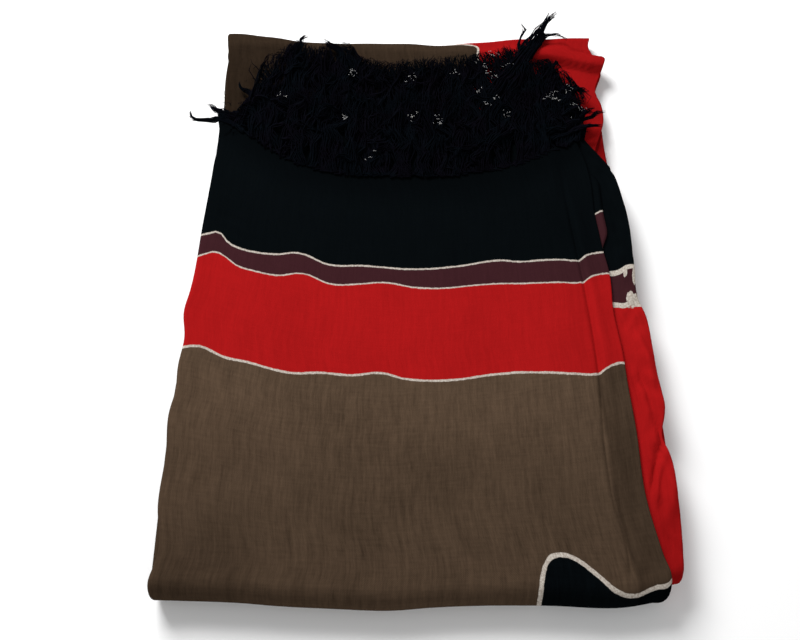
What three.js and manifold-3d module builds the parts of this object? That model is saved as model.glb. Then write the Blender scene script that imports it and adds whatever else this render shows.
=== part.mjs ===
// A folded sarong: one thin fringed cloth, folded in half twice each way into a flat pile.
// Millimetres. x runs across the pile, y from its near fold to its far fold, z up from the surface.

import * as THREE from "three";
import Module from "manifold-3d";

// Thickness of the cloth, and the spacing of its layers.
// Each portion is the cloth's width folded into four plies; four portions lie one on another.
const SHEET = 1.0;
const PLY_PITCH = 1.36;
const PORTION_GAP = 0.5;
const PORTION_PITCH = 3 * PLY_PITCH + SHEET + PORTION_GAP;
const HALF_PORTION = 1.5 * PLY_PITCH + SHEET / 2;

// Centres of the folds along the pile, and where the cloth's lower short end lies.
const NEAR_FOLD_Y = -203;
const INNER_NEAR_FOLD_Y = -200.5;
const FAR_FOLD_Y = 208;
const UNDER_END_Y = 118;

// How far the near and far folds bow towards the viewer in the middle of the pile.
const NEAR_BOW = 4.5;
const FAR_BOW = 7;
const HALF_WIDTH = 143;

// The cloth's right hand folds stand a little open, from just past the edges of the plies above.
const FOLD_PUFF = 1.2;
const PUFF_STARTS_PAST_EDGE = 1.5;

// The inner left hand fold lies this far inside the outer one's centre.
const INNER_FOLD_INSET = 2.2;

// The lower portions wander sideways by this much, in waves along the cloth, once past its first portion.
const DRIFT = 1.5;
const DRIFT_WAVES = 2.1;
const DRIFT_STARTS = 1.1;

// Outline of the pile: its left fold, the top ply's long edge, and the fold that shows beside it.
const OUTLINE = [
  { y: -213, left: -143, edge: 135, fold: 144 },
  { y: -165, left: -145, edge: 129, fold: 148 },
  { y: -112, left: -147, edge: 129, fold: 149 },
  { y: -42, left: -144, edge: 126, fold: 146 },
  { y: 30, left: -140.5, edge: 123, fold: 145.5 },
  { y: 98, left: -139, edge: 124, fold: 138 },
  { y: 160, left: -140, edge: 132, fold: 141 },
  { y: 187, left: -142, edge: 137, fold: 150 },
  { y: 214, left: -144.5, edge: 137, fold: 145 },
];

// The second ply's long edge peeps out from under the top one around here.
const SECOND_EDGE_Y = 28;
const SECOND_EDGE_SPAN = 30;
const SECOND_EDGE_SHOWS = 5;
const SECOND_EDGE_HIDES = 2;

// Stations across the pile: where the cloth's top short end lies, which sags towards the viewer in the
// middle, and how much higher the pile stands, which is more along its sides, inside two soft troughs.
const ACROSS = [
  { x: -140, end: 116, swell: 0.08 },
  { x: -128, end: 110, swell: 0.02 },
  { x: -112, end: 100, swell: 0.05 },
  { x: -60, end: 76, swell: 0.02 },
  { x: 45, end: 73.5, swell: 0.02 },
  { x: 98, end: 91, swell: 0.07 },
  { x: 110, end: 97.5, swell: 0.01 },
  { x: 134, end: 110, swell: 0.09 },
];
const FAR_SWELL = 0.6;

// Where each ply and each portion has its rows of corners between two folds.
const PLY_STATIONS = ACROSS.slice(1, -1).map((station) => station.x).reverse();
const ROWS_BETWEEN_FOLDS = 6;
const WIDTH_ARCS = { outer: 4, side: 4, inner: 4 };
const LENGTH_ARCS = { outer: 6, side: 4, inner: 4 };

// Fringe: a narrow woven strip at each short end with flat strands fused into it.
const STRIP_GAP = 0.4;
const STRIP_LENGTH = 3;
const STRAND_WIDTH = 3.6;
const STRAND_TIP_WIDTH = 1.6;
const STRAND_THICKNESS = 0.8;
const STRAND_STEPS = 3;
const FULL_LEAN_AT = 2 / 3;
const STRANDS_A_PLY = 25;
const FRINGE_LEFT_X = -134;
const FRINGE_RIGHT_X = 118;

// Strands differ a little: in lean, in degrees, and in length, as a share of it.
const LEAN_VARIES = 4;
const LENGTH_VARIES = 0.07;
const WANDER_PER_STRAND = 2.4;
const WANDER_PER_PLY = 1.7;

// How far the strands lean away from the length of the cloth, and how long they are, by where they start.
const TOP_FRINGE = [
  { x: -134, lean: -74, length: 34 },
  { x: -124, lean: -52, length: 42 },
  { x: -110, lean: -22, length: 66 },
  { x: -80, lean: -8, length: 78 },
  { x: 0, lean: 2, length: 80 },
  { x: 60, lean: 6, length: 80 },
  { x: 95, lean: 20, length: 62 },
  { x: 108, lean: 38, length: 46 },
  { x: 118, lean: 60, length: 32 },
];
const UNDER_FRINGE = [
  { x: -134, lean: -40, length: 30 },
  { x: -120, lean: -20, length: 56 },
  { x: -80, lean: -4, length: 82 },
  { x: 0, lean: 1, length: 80 },
  { x: 60, lean: 7, length: 84 },
  { x: 82, lean: 13, length: 108 },
  { x: 92, lean: 24, length: 120 },
  { x: 102, lean: 30, length: 76 },
  { x: 118, lean: 44, length: 34 },
];

// Strands that reach past the sides of the pile droop a little.
const DROOP_FROM_X = 138;
const DROOP_RATE = 0.012;

function lerp(a, b, share) {
  return a + (b - a) * share;
}

// Reads a column of a table at a place along its first column, straight between the rows.
function readTable(table, key, place, column) {
  let row = 0;
  while (row < table.length - 2 && place > table[row + 1][key]) {
    row += 1;
  }
  const low = table[row];
  const high = table[row + 1];
  const share = THREE.MathUtils.clamp((place - low[key]) / (high[key] - low[key]), 0, 1);
  return lerp(low[column], high[column], share);
}

// A strip folded in half twice, in section: four runs one above another, joined by three half-round folds.
// The runs lie 1.5 pitches above the middle, then 1.5 below it, 0.5 below it and 0.5 above it.
function foldTwice(pitch, folds, runs, arcs, puff) {
  const path = [];
  const addRun = (places, level, facing) => {
    for (const place of places) {
      path.push({ along: place, up: level, outAlong: 0, outUp: facing });
    }
  };
  const addArc = (along, up, radius, startTurn, endTurn, steps, facing) => {
    for (let step = 0; step <= steps; step += 1) {
      const turn = lerp(startTurn, endTurn, step / steps);
      const cos = Math.cos(turn);
      const sin = Math.sin(turn);
      path.push({
        along: along + radius * cos,
        up: up + radius * sin,
        outAlong: facing * cos,
        outUp: facing * sin,
      });
    }
  };
  const quarter = Math.PI / 2;
  addRun(runs.first, 1.5 * pitch, 1);
  addArc(folds.outer, 0, 1.5 * pitch, quarter, 3 * quarter, arcs.outer, 1);
  addRun(runs.second, -1.5 * pitch, -1);
  addArc(folds.side, -pitch + puff / 2, (pitch + puff) / 2, -quarter, quarter, arcs.side, 1);
  addRun(runs.third, -0.5 * pitch, 1);
  addArc(folds.inner, 0, 0.5 * pitch, 3 * quarter, quarter, arcs.inner, -1);
  addRun(runs.fourth, 0.5 * pitch, -1);
  return path;
}

// The cloth's width in section at one place along the pile: four plies between the left and right folds.
function widthSection(y, drift) {
  const left = readTable(OUTLINE, "y", y, "left") + drift;
  const edge = readTable(OUTLINE, "y", y, "edge") + drift;
  const fold = readTable(OUTLINE, "y", y, "fold") + drift;
  const nearness = Math.max(0, 1 - Math.abs(y - SECOND_EDGE_Y) / SECOND_EDGE_SPAN);
  const secondEdge = edge + lerp(-SECOND_EDGE_HIDES, SECOND_EDGE_SHOWS, nearness);
  const outer = left + HALF_PORTION;
  const folds = {
    outer,
    side: fold - (PLY_PITCH + FOLD_PUFF) / 2 - SHEET / 2,
    inner: outer + INNER_FOLD_INSET,
  };
  const rightward = [...PLY_STATIONS].reverse();
  const open = Math.max(edge, secondEdge) + PUFF_STARTS_PAST_EDGE;
  const runs = {
    first: [edge, ...PLY_STATIONS],
    second: [...rightward, open],
    third: [open, ...PLY_STATIONS],
    fourth: [...rightward, secondEdge],
  };
  return foldTwice(PLY_PITCH, folds, runs, WIDTH_ARCS, FOLD_PUFF);
}

function spacedPlaces(from, to, count) {
  const places = [];
  for (let row = 1; row <= count; row += 1) {
    places.push(lerp(from, to, row / (count + 1)));
  }
  return places;
}

// The cloth's length in section at one place across the pile.
function lengthSection(x) {
  const topEnd = readTable(ACROSS, "x", x, "end");
  const folds = { outer: NEAR_FOLD_Y, side: FAR_FOLD_Y, inner: INNER_NEAR_FOLD_Y };
  const runs = {
    first: [topEnd, ...spacedPlaces(topEnd, NEAR_FOLD_Y, ROWS_BETWEEN_FOLDS)],
    second: spacedPlaces(NEAR_FOLD_Y, FAR_FOLD_Y, ROWS_BETWEEN_FOLDS),
    third: spacedPlaces(FAR_FOLD_Y, INNER_NEAR_FOLD_Y, ROWS_BETWEEN_FOLDS),
    fourth: [...spacedPlaces(INNER_NEAR_FOLD_Y, UNDER_END_Y, ROWS_BETWEEN_FOLDS), UNDER_END_Y],
  };
  return foldTwice(PORTION_PITCH, folds, runs, LENGTH_ARCS, 0);
}

// Two short rows past one of the cloth's ends, for the fringe's strip.
function stripRows(row, direction) {
  return [STRIP_GAP, STRIP_GAP + STRIP_LENGTH].map((past) => ({
    along: row.along + past,
    up: row.up,
    outAlong: 0,
    outUp: direction,
  }));
}

// How far one row of the length lies to the side, with the rows counted in portions.
function driftOf(row, rowCount) {
  const portion = (4 * row) / (rowCount - 1);
  return DRIFT * Math.sin(DRIFT_WAVES * Math.max(0, portion - DRIFT_STARTS));
}

// The last shaping: bowed near and far folds, a surface at z = 0 and the swell of the sides.
function settle(x, y, z) {
  const share = THREE.MathUtils.clamp((y - NEAR_FOLD_Y) / (FAR_FOLD_Y - NEAR_FOLD_Y), 0, 1);
  const middle = Math.max(0, 1 - (x / HALF_WIDTH) ** 2);
  const bow = lerp(NEAR_BOW, FAR_BOW, share) * middle;
  const swell = readTable(ACROSS, "x", x, "swell") * lerp(1, FAR_SWELL, share);
  const height = z + 1.5 * PORTION_PITCH + HALF_PORTION;
  return new THREE.Vector3(x, y - bow, height * (1 + swell));
}

// A place on the folded cloth, on one row of its length, across at x and offset from its portion's middle.
function onRow(row, x, offset) {
  return settle(x, row.along + row.outAlong * offset, row.up + row.outUp * offset);
}

// Skins a row of closed loops into a solid, with its two ends closed between the faces of the sheet.
function skin(loops) {
  const count = loops[0].length;
  const half = count / 2;
  const points = loops.flat();
  const triangles = [];
  const addQuad = (a, b, c, d) => {
    const run = points[c].x - points[a].x;
    const rise = points[c].y - points[a].y;
    if (run * rise > 0) {
      triangles.push([a, b, c], [a, c, d]);
    } else {
      triangles.push([a, b, d], [b, c, d]);
    }
  };
  for (let loop = 0; loop < loops.length - 1; loop += 1) {
    for (let i = 0; i < count; i += 1) {
      const next = (i + 1) % count;
      addQuad(loop * count + i, loop * count + next, (loop + 1) * count + next, (loop + 1) * count + i);
    }
  }
  const last = (loops.length - 1) * count;
  for (let i = 0; i < half - 1; i += 1) {
    const facing = count - 1 - i;
    addQuad(facing, facing - 1, i + 1, i);
    addQuad(last + i, last + i + 1, last + facing - 1, last + facing);
  }
  return { points, triangles };
}

function signedVolume(shape) {
  let volume = 0;
  for (const [a, b, c] of shape.triangles) {
    const cross = new THREE.Vector3().crossVectors(shape.points[b], shape.points[c]);
    volume += shape.points[a].dot(cross) / 6;
  }
  return volume;
}

function facingOut(shape) {
  if (signedVolume(shape) > 0) {
    return shape;
  }
  return { points: shape.points, triangles: shape.triangles.map(([a, b, c]) => [a, c, b]) };
}

// One loop around the sheet: along its outer face and back along its inner one.
function sheetLoop(section, rowAt) {
  const face = (side) => section.map((place) => {
    const x = place.along + (side * place.outAlong * SHEET) / 2;
    const offset = place.up + (side * place.outUp * SHEET) / 2;
    return onRow(rowAt(x), x, offset);
  });
  return [...face(1), ...face(-1).reverse()];
}

function makeCloth() {
  const rowCount = lengthSection(0).length;
  const loops = [];
  for (let row = 0; row < rowCount; row += 1) {
    const section = widthSection(lengthSection(0)[row].along, driftOf(row, rowCount));
    loops.push(sheetLoop(section, (x) => lengthSection(x)[row]));
  }
  return facingOut(skin(loops));
}

// The row of the cloth's top or lower short end, at one place across the pile.
function endRow(x, isTop) {
  const rows = lengthSection(x);
  return isTop ? rows[0] : rows[rows.length - 1];
}

function makeStrip(isTop) {
  const rowCount = lengthSection(0).length;
  const drift = isTop ? driftOf(0, rowCount) : driftOf(rowCount - 1, rowCount);
  const section = widthSection(endRow(0, isTop).along, drift);
  const direction = isTop ? 1 : -1;
  const loopPast = (side) => sheetLoop(section, (x) => stripRows(endRow(x, isTop), direction)[side]);
  return facingOut(skin([loopPast(0), loopPast(1)]));
}

// A flat four-sided strand that starts inside the strip and leans further the further it goes.
function makeStrand(x, offset, isTop, table, wander) {
  const row = stripRows(endRow(x, isTop), isTop ? 1 : -1)[0];
  const lean = THREE.MathUtils.degToRad(readTable(table, "x", x, "lean") + LEAN_VARIES * wander);
  const length = readTable(table, "x", x, "length") * (1 + LENGTH_VARIES * wander) + STRIP_LENGTH;
  const level = row.up + row.outUp * offset;
  const stride = length / STRAND_STEPS;
  const headingAt = (share) => lean * Math.min(1, share / FULL_LEAN_AT);
  let placeX = x;
  let placeY = row.along + STRIP_LENGTH / 2;
  const loops = [];
  for (let step = 0; step <= STRAND_STEPS; step += 1) {
    const share = step / STRAND_STEPS;
    const halfWidth = lerp(STRAND_WIDTH, STRAND_TIP_WIDTH, share) / 2;
    const acrossX = halfWidth * Math.cos(headingAt(share));
    const acrossY = -halfWidth * Math.sin(headingAt(share));
    const pastSide = Math.max(0, Math.abs(placeX) - DROOP_FROM_X);
    const corner = (side, up) => {
      const z = level + (up * STRAND_THICKNESS) / 2;
      const point = settle(placeX + side * acrossX, placeY + side * acrossY, z);
      point.z -= DROOP_RATE * pastSide * pastSide;
      return point;
    };
    loops.push([corner(-1, 1), corner(1, 1), corner(1, -1), corner(-1, -1)]);
    const nextHeading = headingAt(share + 0.5 / STRAND_STEPS);
    placeX += stride * Math.sin(nextHeading);
    placeY += stride * Math.cos(nextHeading);
  }
  return facingOut(skin(loops));
}

function toManifold(wasm, shape) {
  const mesh = new wasm.Mesh({
    numProp: 3,
    vertProperties: new Float32Array(shape.points.flatMap((point) => point.toArray())),
    triVerts: new Uint32Array(shape.triangles.flat()),
  });
  return new wasm.Manifold(mesh);
}

// The strands of one end: a row of them on each of the four plies, fused into the end's strip.
function makeFringe(wasm, isTop) {
  const table = isTop ? TOP_FRINGE : UNDER_FRINGE;
  const parts = [toManifold(wasm, makeStrip(isTop))];
  const levels = [1.5, 0.5, -0.5, -1.5];
  levels.forEach((level, ply) => {
    for (let strand = 0; strand < STRANDS_A_PLY; strand += 1) {
      const share = (strand + ply / levels.length) / (STRANDS_A_PLY - 1 / levels.length);
      const x = lerp(FRINGE_LEFT_X, FRINGE_RIGHT_X, share);
      const wander = Math.sin(WANDER_PER_STRAND * strand + WANDER_PER_PLY * ply + (isTop ? 0 : 3));
      parts.push(toManifold(wasm, makeStrand(x, level * PLY_PITCH, isTop, table, wander)));
    }
  });
  return wasm.Manifold.union(parts);
}

function toShape(manifold) {
  const mesh = manifold.getMesh();
  const points = [];
  for (let i = 0; i < mesh.vertProperties.length; i += mesh.numProp) {
    points.push(new THREE.Vector3(...mesh.vertProperties.slice(i, i + 3)));
  }
  const triangles = [];
  for (let i = 0; i < mesh.triVerts.length; i += 3) {
    triangles.push([...mesh.triVerts.slice(i, i + 3)]);
  }
  return { points, triangles };
}

function toMesh(name, shape, material) {
  const geometry = new THREE.BufferGeometry();
  const positions = shape.points.flatMap((point) => point.toArray());
  geometry.setAttribute("position", new THREE.Float32BufferAttribute(positions, 3));
  geometry.setIndex(shape.triangles.flat());
  geometry.computeVertexNormals();
  const mesh = new THREE.Mesh(geometry, material);
  mesh.name = name;
  return mesh;
}

const wasm = await Module();
wasm.setup();

const clothMaterial = new THREE.MeshStandardMaterial({ name: "cloth", color: 0x54463a, roughness: 0.9 });
const fringeMaterial = new THREE.MeshStandardMaterial({ name: "fringe", color: 0x0c0a0e, roughness: 0.9 });

const shapes = {
  cloth: makeCloth(),
  fringe_top: toShape(makeFringe(wasm, true)),
  fringe_under: toShape(makeFringe(wasm, false)),
};

// The pile's box is centred on the origin, standing on the surface.
const box = new THREE.Box3();
for (const shape of Object.values(shapes)) {
  box.union(new THREE.Box3().setFromPoints(shape.points));
}
const centre = box.getCenter(new THREE.Vector3());

const part = new THREE.Group();
for (const [name, shape] of Object.entries(shapes)) {
  const points = shape.points.map((point) => point.clone().setX(point.x - centre.x).setY(point.y - centre.y));
  const material = name === "cloth" ? clothMaterial : fringeMaterial;
  part.add(toMesh(name, { points, triangles: shape.triangles }, material));
}

export default part;
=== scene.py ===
# A folded fringed sarong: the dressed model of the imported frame.
# Shapes are worked out in millimetres in the pile's own place, then put in the frame in metres.

import math

import bpy
import numpy as np
from mathutils import Matrix, Vector


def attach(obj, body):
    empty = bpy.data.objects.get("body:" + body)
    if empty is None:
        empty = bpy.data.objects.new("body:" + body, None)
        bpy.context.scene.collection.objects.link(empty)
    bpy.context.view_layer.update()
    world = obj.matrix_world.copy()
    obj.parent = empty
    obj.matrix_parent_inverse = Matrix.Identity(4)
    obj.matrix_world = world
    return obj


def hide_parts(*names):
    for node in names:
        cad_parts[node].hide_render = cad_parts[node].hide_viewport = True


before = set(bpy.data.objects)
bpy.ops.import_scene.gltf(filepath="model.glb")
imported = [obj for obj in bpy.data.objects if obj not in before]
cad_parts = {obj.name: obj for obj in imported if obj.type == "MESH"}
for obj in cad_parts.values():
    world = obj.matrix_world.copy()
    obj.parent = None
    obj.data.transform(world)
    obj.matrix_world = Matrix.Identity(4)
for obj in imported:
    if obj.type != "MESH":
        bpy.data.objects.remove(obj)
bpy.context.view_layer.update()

# The pile's own middle, in the frame.
PILE_SHIFT = (5.528, -10.334)

# Spacing of the layers, as in the solids, and the finer thickness of the real cloth.
SOLID_SHEET = 1.0
PLY_PITCH = 1.36
PORTION_GAP = 0.5
PORTION_PITCH = 3 * PLY_PITCH + SOLID_SHEET + PORTION_GAP
HALF_PORTION = 1.5 * PLY_PITCH + SOLID_SHEET / 2
CLOTH_THICKNESS = 0.5

# Centres of the folds along the pile, and the cloth's lower short end.
NEAR_FOLD_Y = -203.0
INNER_NEAR_FOLD_Y = -200.5
FAR_FOLD_Y = 208.0
UNDER_END_Y = 118.0
FOLD_PUFF = 1.2
INNER_FOLD_INSET = 2.2

# How the lower portions wander sideways.
DRIFT = 1.5
DRIFT_WAVES = 2.1
DRIFT_STARTS = 1.1

# Outline of the top portion: its left fold, by distance along the pile.
TOP_LEFT = {
    "y": [-214, -208, -192, -164, -135, -111, -97, -81, -61, -43, -29, 25, 59, 81, 94, 114],
    "x": [
        -143, -143.5, -140, -143.5, -143, -144.5, -142.5, -143,
        -141.5, -144, -142, -139.5, -138, -137, -135, -138.5,
    ],
}

# Its open long edge.
TOP_EDGE = {
    "y": [-214, -206, -188, -161, -119, -87, -71, -39, -13, 6, 20, 36, 64, 84, 108],
    "x": [135, 136, 133, 129, 129, 128, 128, 126, 127, 125, 124, 123, 123, 121, 116],
}

# The wrinkled fold that shows to the right of that edge.
TOP_FOLD = {
    "y": [-214, -203, -184, -165, -142, -130, -112, -86, -69, -48, -36, -9, 29, 49, 66, 78, 92, 104],
    "x": [144, 145, 147, 148, 148, 145, 149, 148, 148, 147, 144, 145, 146, 144, 141, 135, 127, 121],
}

# The lower portions' outline, whose far end shows behind the fringe.
UNDER_SIDES = {
    "y": [-214, -165, -112, -42, 30, 98, 123, 140, 152, 170, 178, 183, 187, 192, 198, 214],
    "left": [
        -142, -143, -143.5, -140.5, -139, -137.5, -138.5, -139,
        -140, -141, -141, -141, -142, -142, -143, -145,
    ],
    "edge": [135, 129, 129, 126, 123, 134, 143, 143, 140, 145, 148, 149, 147, 141, 139, 142],
    "fold": [145, 148, 149, 146, 145, 142, 142, 142, 139, 144, 147, 148, 146, 140, 139, 141],
}

# The top short end, which sags towards the viewer, and the bows of the near and far folds.
TOP_END = {
    "x": [-141, -128, -112, -92, -57, -20, 27, 76, 98, 113, 126],
    "y": [116, 110, 100, 88, 75, 72, 73, 80, 90, 98, 107],
}
NEAR_BOW = {
    "x": [-150, -143, -117, -95, -76, -47, -12, 7, 34, 67, 116, 127, 134, 139, 150],
    "y": [1.0, 1.0, 0.4, -0.5, -2.0, -3.4, -4.4, -3.0, -2.0, -2.0, -2.6, -0.8, 0.3, 6.0, 7.5],
}
FAR_BOW = {
    "x": [-150, -130, -118, -102, -86, -62, -7, 26, 56, 92, 120, 150],
    "y": [1.0, 1.0, -1.0, -3.0, -7.5, -8.5, -7.5, -8.5, -5.0, -1.0, 0.0, 1.0],
}
SWELL = {
    "x": [-150, -140, -128, -112, -60, 45, 98, 110, 134, 150],
    "share": [0.08, 0.075, 0.03, 0.05, 0.02, 0.02, 0.065, 0.03, 0.085, 0.085],
}
FAR_SWELL = 0.6

# The crease beside the raised strip along the open edge.
EDGE_CREASE = {
    "y": [-214, -209, -185, -161, -133, -83, -20, 20, 60],
    "x": [115, 115, 115, 111, 110, 112, 110, 107, 104],
}

# Folds of the wrinkled strip: where each one runs, its height or depth, and its half width.
STRIP_FOLDS = [
    {"y": [-163, -157, -146, -132], "x": [130, 132, 137, 144], "height": -2.4, "half_width": 1.6},
    {"y": [-162, -150, -138], "x": [134, 139, 146], "height": 1.7, "half_width": 1.8},
    {"y": [-130, -115, -100, -84], "x": [144, 142, 140, 137], "height": -2.0, "half_width": 1.8},
    {"y": [-174, -160, -148], "x": [142, 145, 144], "height": 2.0, "half_width": 3.0},
    {"y": [-192, -183, -173, -163], "x": [141, 136, 132, 130], "height": -2.6, "half_width": 1.6},
    {"y": [-95, -80, -62], "x": [144, 143, 139], "height": 1.5, "half_width": 2.4},
    {"y": [-100, -84, -66], "x": [135, 132, 130], "height": -1.6, "half_width": 1.8},
    {"y": [-52, -44, -38], "x": [130, 137, 143], "height": -1.6, "half_width": 1.8},
]

# Two long folds of the leaf that lies on top, each strongest at its middle place.
LEAF_FOLDS = [
    {"y": [30, 60, 90], "x": [92, 97, 99], "reach": 26, "height": 0.9, "half_width": 5},
    {"y": [-70, -20, 30], "x": [121, 113, 105], "reach": 34, "height": 0.5, "half_width": 3.5},
]

# The top leaf's other relief: its crease, the rise beside that, the drop past it, its waves and wrinkles.
CREASE_DEPTH = 1.8
CREASE_RISE = 1.1
CREASE_DROP = 1.0
WIDE_WAVES = 0.35
SMALL_WAVES = 0.13
LEFT_WRINKLES = 0.45

# The near edge of the thick ridge across the red far end, its height, and the slit behind it.
FAR_RIDGE = {"x": [60, 118, 138, 152], "y": [184, 182, 176, 174]}
FAR_RIDGE_HEIGHT = 6.0
FAR_SLIT = {"x": [120, 133, 145], "y": [198, 195, 191]}
FAR_SLIT_DEPTH = 2.4

# The roll across the brown far end, and the waves of the whole of it.
FAR_ROLL_HEIGHT = 1.6
FAR_WAVES = 0.5

# Places across the pile where distance along it is read for its left and right edges.
LEFT_EDGE_X = -141.0
RIGHT_EDGE_X = 128.0

# How far the open edge and the fold beside it draw in at the cloth's lower short end.
EDGE_DRAWS_IN = 12
FOLD_DRAWS_IN = 20

# How far the second edge lies inside the open one, and how far it moves out where it peeps past it.
SECOND_EDGE_IN = 2
SECOND_EDGE_PEEPS = 8


# A smooth curve through a short table's points, read at places along it.
def read_curve(places, values, at):
    places = np.asarray(places, float)
    values = np.asarray(values, float)
    slopes = np.gradient(values, places)
    at = np.clip(at, places[0], places[-1])
    index = np.clip(np.searchsorted(places, at) - 1, 0, len(places) - 2)
    step = places[index + 1] - places[index]
    t = (at - places[index]) / step
    low, high = values[index], values[index + 1]
    rise_low, rise_high = slopes[index] * step, slopes[index + 1] * step
    return (
        (2 * t**3 - 3 * t**2 + 1) * low
        + (t**3 - 2 * t**2 + t) * rise_low
        + (3 * t**2 - 2 * t**3) * high
        + (t**3 - t**2) * rise_high
    )


def smooth_step(low, high, value):
    t = np.clip((value - low) / (high - low), 0, 1)
    return t * t * (3 - 2 * t)


def hump(distance, half_width):
    return np.exp(-((distance / half_width) ** 2))


# Soft random waves of about one wavelength, the same each run.
def soft_waves(x, y, wavelength, seed, along=1.0):
    rng = np.random.default_rng(seed)
    total = 0
    for _ in range(8):
        turn = rng.uniform(0, 2 * math.pi)
        size = 2 * math.pi / (wavelength * rng.uniform(0.7, 1.5))
        phase = rng.uniform(0, 2 * math.pi)
        total = total + np.sin(size * (x * math.cos(turn) + y * math.sin(turn) / along) + phase)
    return total / 4


# Places along a run: from 0 to 1 with neither end, closer together where the table says.
def places_along(*stretches):
    places = []
    for start, end, count in stretches:
        places.extend(np.linspace(start, end, count, endpoint=False) + (end - start) / count / 2)
    return np.array(places)


# A strip folded in half twice, in section, as arrays: four runs joined by three round folds.
def fold_twice(pitch, stops, runs, arcs, puff=0.0, puff_from=None):
    start, outer, side, inner, end = stops
    quarter = math.pi / 2
    along, up, out_along, out_up = [], [], [], []

    def add(a, u, oa, ou):
        shape = np.broadcast(a, u, oa, ou).shape
        for bag, value in ((along, a), (up, u), (out_along, oa), (out_up, ou)):
            bag.append(np.broadcast_to(value, shape))

    def add_arc(centre, level, radius, first, last, steps, facing):
        turn = np.linspace(first, last, steps)
        cosine, sine = np.cos(turn), np.sin(turn)
        add(centre + radius * cosine, level + radius * sine, facing * cosine, facing * sine)

    add(start + (outer - start) * runs[0], 1.5 * pitch, 0.0, 1.0)
    add_arc(outer, 0, 1.5 * pitch, quarter, 3 * quarter, arcs[0], 1)
    add(outer + (side - outer) * runs[1], -1.5 * pitch, 0.0, -1.0)
    add_arc(side, -pitch + puff / 2, (pitch + puff) / 2, -quarter, quarter, arcs[1], 1)
    third = side + (inner - side) * runs[2]
    lift = 0.0 if puff_from is None else puff * smooth_step(puff_from, side, third)
    add(third, -0.5 * pitch + lift, 0.0, 1.0)
    add_arc(inner, 0, 0.5 * pitch, 3 * quarter, quarter, arcs[2], -1)
    add(inner + (end - inner) * runs[3], 0.5 * pitch, 0.0, -1.0)
    return [np.concatenate(bag, axis=-1) for bag in (along, up, out_along, out_up)]


# Columns across the cloth and rows along it: fine where the cloth shows, wide inside the pile.
PLY_COLUMNS = [
    np.concatenate([
        [0.0], places_along((0.0, 0.05, 8), (0.05, 0.09, 18), (0.09, 0.9, 48), (0.9, 1.0, 12)),
    ]),
    places_along((0.0, 0.9, 14), (0.9, 1.0, 8)),
    places_along((0.0, 0.1, 26), (0.1, 1.0, 8)),
    np.concatenate([places_along((0.0, 0.88, 14), (0.88, 1.0, 8)), [1.0]]),
]
PLY_ARCS = [10, 11, 6]
PORTION_ROWS = [
    np.concatenate([[0.0], places_along((0.0, 0.1, 9), (0.1, 0.94, 80), (0.94, 1.0, 8))]),
    places_along((0.0, 0.08, 4), (0.08, 0.78, 10), (0.78, 0.9, 4), (0.9, 1.0, 10)),
    places_along((0.0, 0.12, 26), (0.12, 0.34, 20), (0.34, 1.0, 8)),
    np.concatenate([places_along((0.0, 0.9, 14), (0.9, 1.0, 4)), [1.0]]),
]
PORTION_ARCS = [18, 15, 7]


# The cloth's section along the pile at places across it: one row of arrays for each place.
def length_rows(x):
    x = np.atleast_1d(x)[:, None]
    top_end = read_curve(TOP_END["x"], TOP_END["y"], x)
    flat = np.zeros_like(top_end)
    stops = (top_end, flat + NEAR_FOLD_Y, flat + FAR_FOLD_Y, flat + INNER_NEAR_FOLD_Y, flat + UNDER_END_Y)
    return fold_twice(PORTION_PITCH, stops, PORTION_ROWS, PORTION_ARCS)


# How many portions of the cloth's length lie before each row.
def row_portion():
    parts = []
    for number, places in enumerate(PORTION_ROWS):
        parts.append(np.linspace(number, number + 1, len(places)))
        if number < len(PORTION_ARCS):
            parts.append(np.full(PORTION_ARCS[number], number + 1.0))
    return np.concatenate(parts)


def far_share(y):
    return np.clip((y - NEAR_FOLD_Y) / (FAR_FOLD_Y - NEAR_FOLD_Y), 0, 1)


# The bow of the near and far folds, as a shift along the pile.
def bowed(x, y):
    share = far_share(y)
    near = read_curve(NEAR_BOW["x"], NEAR_BOW["y"], x)
    far = read_curve(FAR_BOW["x"], FAR_BOW["y"], x)
    return y + near * (1 - share) + far * share


# The last shaping: bowed near and far folds, a surface at z = 0 and the swell of the sides.
def settle(x, y, z):
    swell = read_curve(SWELL["x"], SWELL["share"], x) * (1 + (FAR_SWELL - 1) * far_share(y))
    height = z + 1.5 * PORTION_PITCH + HALF_PORTION
    return x, bowed(x, y), height * (1 + swell)


def to_frame(x, y, z):
    return np.stack([x + PILE_SHIFT[0], y + PILE_SHIFT[1], z], axis=-1) / 1000


# One fold of the wrinkled strip, which fades out at both ends.
def fold_along(line, x, y):
    first, last = line["y"][0], line["y"][-1]
    fades = smooth_step(first - 5, first + 3, y) * smooth_step(last + 5, last - 3, y)
    return line["height"] * fades * hump(x - read_curve(line["y"], line["x"], y), line["half_width"])


# The relief of the leaf that lies on top, as a height to add.
def top_relief(x, y):
    crease = x - read_curve(EDGE_CREASE["y"], EDGE_CREASE["x"], y)
    pressed = CREASE_RISE * hump(crease - 3.8, 4.0) - CREASE_DEPTH * hump(crease, 1.7)
    pressed = pressed - CREASE_DROP * smooth_step(4, 18, crease)
    relief = smooth_step(75, 15, y) * pressed
    relief = relief + WIDE_WAVES * (1 + soft_waves(x, y, 70, 3, along=2.2))
    relief = relief + SMALL_WAVES * soft_waves(x, y, 15, 4, along=2.0)
    wrinkles = 1 + np.sin((y + 0.5 * x) * 0.62 + 0.6 * soft_waves(x, y, 30, 8))
    relief = relief + LEFT_WRINKLES * hump(x + 118, 16) * hump(y - 12, 22) * wrinkles
    for line in LEAF_FOLDS:
        across = hump(x - read_curve(line["y"], line["x"], y), line["half_width"])
        relief = relief + line["height"] * hump(y - line["y"][1], line["reach"]) * across
    return relief


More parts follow.
